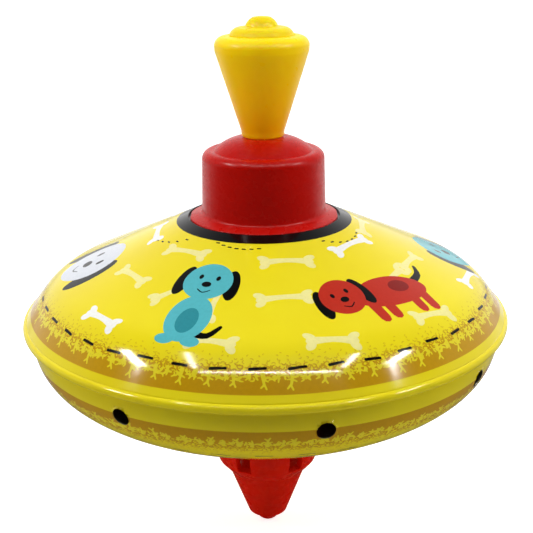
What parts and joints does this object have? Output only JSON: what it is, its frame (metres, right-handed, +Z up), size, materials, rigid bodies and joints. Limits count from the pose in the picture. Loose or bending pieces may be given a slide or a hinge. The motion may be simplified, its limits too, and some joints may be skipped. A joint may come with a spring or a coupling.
{
  "type": "spinning top",
  "caption": "Pump-action humming top: two painted tin shells seamed at the rim, with a plastic collar, a pointed foot and a cone knob on a twisted steel rod.",
  "frame": {"origin": "lowest point of the tip, on the spin axis", "axes": "+Z up the spin axis from the tip to the knob; the front faces -Y"},
  "size_m": [0.19, 0.19, 0.2099],
  "materials": {
    "yellow_tin": "gloss printed tinplate",
    "red_plastic": "satin gloss moulded plastic",
    "yellow_plastic": "satin translucent moulded plastic",
    "white_nylon": "natural moulded nylon",
    "strip_steel": "zinc-plated strip steel",
    "tube_steel": "drawn steel tube"
  },
  "bodies": {
    "top_body": {"upper_shell": "yellow_tin", "lower_shell": "yellow_tin", "collar": "red_plastic", "clutch_seat": "white_nylon", "nut_retainer": "white_nylon", "centre_tube": "tube_steel", "foot": "red_plastic"},
    "bush": {"guide_bush": "white_nylon"},
    "plunger": {"knob": "yellow_plastic", "knob_cap": "yellow_plastic", "spiral_rod": "strip_steel", "rod_washer": "strip_steel", "rod_nut": "strip_steel", "end_stop": "strip_steel"},
    "nut": {"drive_nut": "white_nylon"}
  },
  "joints": [
    {"name": "top_spin", "type": "hinge", "parent": "top_body", "child": "bush", "pos_m": [0, 0, 0.16], "axis": [0, 0, 1], "continuous": true},
    {"name": "pump_slide", "type": "slide", "parent": "bush", "child": "plunger", "axis": [0, 0, 1], "range_m": [0, 0.11]},
    {"name": "nut_turn", "type": "hinge", "parent": "bush", "child": "nut", "pos_m": [0, 0, 0.148], "axis": [0, 0, 1], "range_deg": [-665, 0]}
  ],
  "couplings": [
    {"joint": "nut_turn", "follows": "pump_slide", "rad_per_m": -104.72}
  ]
}
